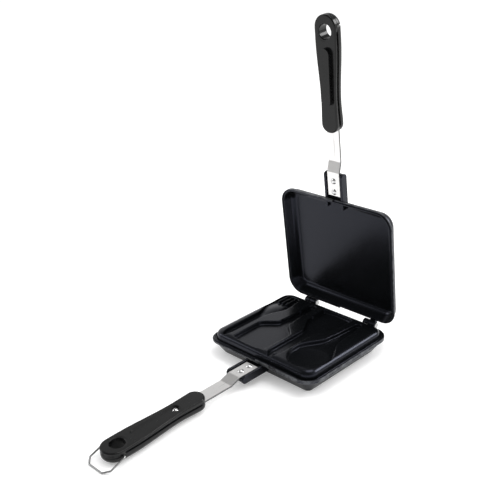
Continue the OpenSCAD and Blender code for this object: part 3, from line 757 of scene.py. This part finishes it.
def handle_shell(levels):
    """Half of a handle, as rings through levels of (inset, height, groove). Each ring
    runs down one side and back up the other: half width (w(s) - inset - groove) times
    the ends' round sqrt(1 - u^2), where u is the share of the way into an end. Height 0
    is the inner face, 1 the seam and 2 the back."""
    inset, height, groove = np.array(levels, float).T[:, :, None]
    nose, tail = np.linspace(0, math.pi / 2, 15)[None], np.linspace(0, math.pi / 2, 19)[None]
    middle = np.linspace(NOSE, TAIL, 74)[None, 1:-1] + 0 * inset
    s = np.hstack([NOSE - (9 - inset) * np.cos(nose), middle,
                   TAIL + (13 - inset) * np.sin(tail)])
    ends = np.hstack([np.sin(nose) + 0 * inset, 1 + 0 * middle, np.cos(tail) + 0 * inset])

    def ease(t):
        t = np.clip(t, 0, 1)
        return t * t * (3 - 2 * t)

    dip = 1.2 * ease((s - START - 5) / 5) * ease((END - 13 - s) / 6)
    half = (widths(SIDES, s) - inset - groove * dip) * ends
    face, back = face_depth(s), widths(BACKS, s)
    depth = np.where(height <= 1, face + (SEAM - face) * height,
                     SEAM + (back - SEAM) * (height - 1))
    half[:, [0, -1]] = 0
    one = np.stack([half, RIM_Y - s, -depth], -1)
    points = np.concatenate([one, one[:, ::-1] * (-1, 1, 1)], 1)
    rows, columns = points.shape[:2]
    k = np.arange(columns // 2 - 1)
    cap = np.stack([k, k + 1, columns - 2 - k, columns - 1 - k], 1)
    return points.reshape(-1, 3), [quads(rows, columns), cap, cap + (rows - 1) * columns]


def quarter_levels(inset0, height0, inset1, height1, count=8, outward_first=True):
    """Levels of an elliptical round between two levels."""
    a = np.linspace(0, math.pi / 2, count)
    u, v = (np.sin(a), 1 - np.cos(a)) if outward_first else (1 - np.cos(a), np.sin(a))
    return [(inset0 + (inset1 - inset0) * p, height0 + (height1 - height0) * q, 0)
            for p, q in zip(u, v)]


INNER_LEVELS = (quarter_levels(1.6, 0.0, 0.0, 0.40)
                + [(0, 0.64, 0), (0.15, 0.70, 0), (0.15, 0.75, 1), (0.15, 1.0, 1)])
OUTER_LEVELS = ([(0.15, 1.0, 1), (0.15, 1.15, 1), (0.15, 1.19, 0), (0, 1.24, 0)]
                + quarter_levels(0.0, 1.42, 6.0, 2.0, 12, False))


def cutter(shell, place):
    """A hidden solid that a Boolean takes away."""
    made = bpy.data.objects.new("cutter", mesh_of("cutter", (place(shell[0]), shell[1])))
    scene.collection.objects.link(made)
    return made


def cut_from(mesh, shells, place):
    """The mesh less every shell, worked out by exact Booleans."""
    body = bpy.data.objects.new("blank", mesh)
    scene.collection.objects.link(body)
    made = [cutter(shell, place) for shell in shells]
    for solid in made:
        cut = body.modifiers.new("cut", "BOOLEAN")
        cut.operation, cut.solver, cut.object = "DIFFERENCE", "EXACT", solid
    bpy.context.view_layer.update()
    graph = bpy.context.evaluated_depsgraph_get()
    result = bpy.data.meshes.new_from_object(body.evaluated_get(graph))
    for solid in [*made, body]:
        bpy.data.objects.remove(solid)
    return result


def hole(profile, s, sides=64):
    """A round cutter on the handle's middle line at station s."""
    return axes(spun(profile, sides=sides), (0, 1, 2), (0, RIM_Y - s, 0))


def inner_cutters():
    """Hanging hole with a rounded mouth, the screw's well, and the finger recess. Known
    fault: on the upper handle the Boolean leaves the recess as a bar that stands proud
    of the face, where the CAD solid has the recess."""
    face = -face_depth(HOLE_AT)
    mouth = rounded([(9.6, 3), (9.6, face + 0.02), (7.5, face + 0.02), (7.5, -12)],
                    [0, 0, 0.9, 0], step=10)[::-1]
    well = [(3.6, -face_depth(SCREW_AT) - 2.2), (3.6, 3)]
    floor = -face_depth(RECESS_MID) - 1.3
    ends = rounded([(-5.4, -227.2), (5.4, -227.2), (4.8, -170.8), (-4.8, -170.8)],
                   [5.3, 5.3, 4.7, 4.7], closed=True, step=8)
    walls = rounded([(1.6, floor), (0.6, floor), (-0.4, floor + 1.4), (-0.9, floor + 5)],
                    [0, 0.7, 0, 0], step=15)
    recess, faces = carried(ends, walls)
    recess[:, 2] += (recess[:, 1] - RIM_Y + RECESS_MID) * FACE_RISE / (END - START)
    return [hole(mouth, HOLE_AT), hole(well, SCREW_AT, 40), (recess, faces)]


def outer_cutters(upper):
    """Hanging hole, the strap's pocket, and either the notch where the flipped bail lies
    (upper handle) or the bail's two pivot holes (lower handle)."""
    back = -17.0
    mouth = rounded([(7.5, 0), (7.5, back - 0.02), (9.6, back - 0.02), (9.6, -21)],
                    [0, 0.9, 0, 0], step=10)[::-1]
    pocket = rounded([(-8.1, -185.4), (8.1, -185.4), (8.1, -130), (-8.1, -130)], 0.4,
                     closed=True, step=30)
    made = [hole(mouth, HOLE_AT), carried(pocket, [(0, -9.1), (0, -6.0)])]
    if not upper:
        for x0, x1 in ((9.4, 20), (-20, -9.4)):
            bore = spun([(0.98, x0), (0.98, x1)], sides=24)
            made.append(axes(bore, (2, 0, 1), (0, RIM_Y - PIVOT_AT, -PIVOT_DEPTH)))
        return made
    gap, tilt = 1.2, math.acos(2.2 / BAIL_REACH)
    bottom = gap - BAIL_REACH
    bar = BAIL_HW - 5.8 - gap * math.tan(math.radians(22.5))
    notch = np.array([(-18, bottom - 8), (18, bottom - 8), (18, bottom + 18 - bar),
                      (bar, bottom), (-bar, bottom), (-18, bottom + 18 - bar)])
    slab, faces = carried(notch, [(0, -gap), (0, gap)])
    y, z = slab[:, 1], slab[:, 2]
    slab = np.stack([slab[:, 0], y * math.cos(tilt) - z * math.sin(tilt) + RIM_Y - PIVOT_AT,
                     y * math.sin(tilt) + z * math.cos(tilt) + PIVOT_DEPTH], 1)
    return made + [(slab, faces)]


def phenolic_pattern(start, place):
    """Glossy black moulded plastic: faint flow clouds, hairline scratches from use and a
    very slight unevenness that softens the reflections."""
    flow = noise(start, place, 70.0, 3.0)
    grain = noise(start, place, 2400.0, 2.0)
    rub = noise(start, place, 1.0, 3.0, stretch=(900, 140, 140), roughness=0.7)
    return {
        "Base Color": flow.mix(grey(0.003, 0.03), grey(0.006, 0.04)),
        "Roughness": 0.15 + 0.08 * flow + 0.2 * rub.step(0.6, 0.8),
        "Normal": bump(start, grain + 0.6 * flow, 0.00005, 0.4),
    }


phenolic = finish("black_phenolic", phenolic_pattern, Specular_IOR_Level=0.3)
for side, place, body in (("lower", on_lower, "lower"), ("upper", on_lid, "lid")):
    for half, levels, cuts in (
            ("inner", INNER_LEVELS, inner_cutters()),
            ("outer", OUTER_LEVELS, outer_cutters(side == "upper"))):
        blank = handle_shell(levels)
        node = f"{side}_handle_{half}_shell"
        mesh = mesh_of(node, (place(blank[0]), blank[1]))
        piece(node + "_moulded", cut_from(mesh, cuts, place), phenolic, body,
              [node])


# Screws and nuts: their CAD solids are right, so they stay and get their metals. The
# cross-headed screw sits in its well and the nut in the outer shell.
def chrome_pattern(start, place):
    """Plated steel with fine scratches."""
    wear = noise(start, place, 1400.0, 3.0)
    return {
        "Base Color": wear.mix(grey(0.55), grey(0.74)),
        "Roughness": 0.14 + 0.18 * wear,
        "Normal": bump(start, wear, 0.00003, 0.4),
    }


screw_metal = finish("screw_chrome", chrome_pattern, Metallic=1.0)
nut_metal = finish("nut_steel", pin_pattern, Metallic=1.0)
for side in ("lower", "upper"):
    for node, metal in ((f"{side}_handle_screw", screw_metal), (f"{side}_handle_nut", nut_metal)):
        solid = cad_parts[node]
        solid.data.materials.clear()
        solid.data.materials.append(metal)


# Bail: one steel wire bent to a flat loop with slanted corners. Its ends turn in to
# the lower handle's sides, and it hangs down until its end bar rests on the table.
bail_end, wire_r = 9.7, 0.9
bail_line = rounded(
    [(-bail_end, 0, 0), (-BAIL_HW, 0, 0), (-BAIL_HW, -17.9, 0), (-9.4, -BAIL_REACH, 0),
     (9.4, -BAIL_REACH, 0), (BAIL_HW, -17.9, 0), (BAIL_HW, 0, 0), (bail_end, 0, 0)],
    [0, 2, 2, 2, 2, 2, 2, 0], step=9)
turns = np.arange(20) * math.pi / 10
wire_section = wire_r * np.stack([np.cos(turns), np.sin(turns)], 1)
wire, wire_faces = along(bail_line, (0, 0, 1), wire_section)
droop = math.asin((PART_Z - PIVOT_DEPTH - wire_r) / BAIL_REACH)
y, z = wire[:, 1], wire[:, 2]
wire = np.stack([wire[:, 0], y * math.cos(droop) - z * math.sin(droop) + RIM_Y - PIVOT_AT,
                 y * math.sin(droop) + z * math.cos(droop) - PIVOT_DEPTH + PART_Z], 1)


def wire_pattern(start, place):
    """Plated spring wire with drawing lines and dull patches."""
    dull = noise(start, place, 260.0, 3.0)
    return {
        "Base Color": dull.mix(grey(0.30), grey(0.50)),
        "Roughness": 0.22 + 0.2 * dull,
        "Normal": bump(start, noise(start, place, 2200.0, 2.0), 0.00003, 0.4),
    }


piece("bail_wire_bent", mesh_of("bail_wire", (wire, wire_faces)),
      finish("plated_wire", wire_pattern, Metallic=1.0), "bail", ["bail_wire"])
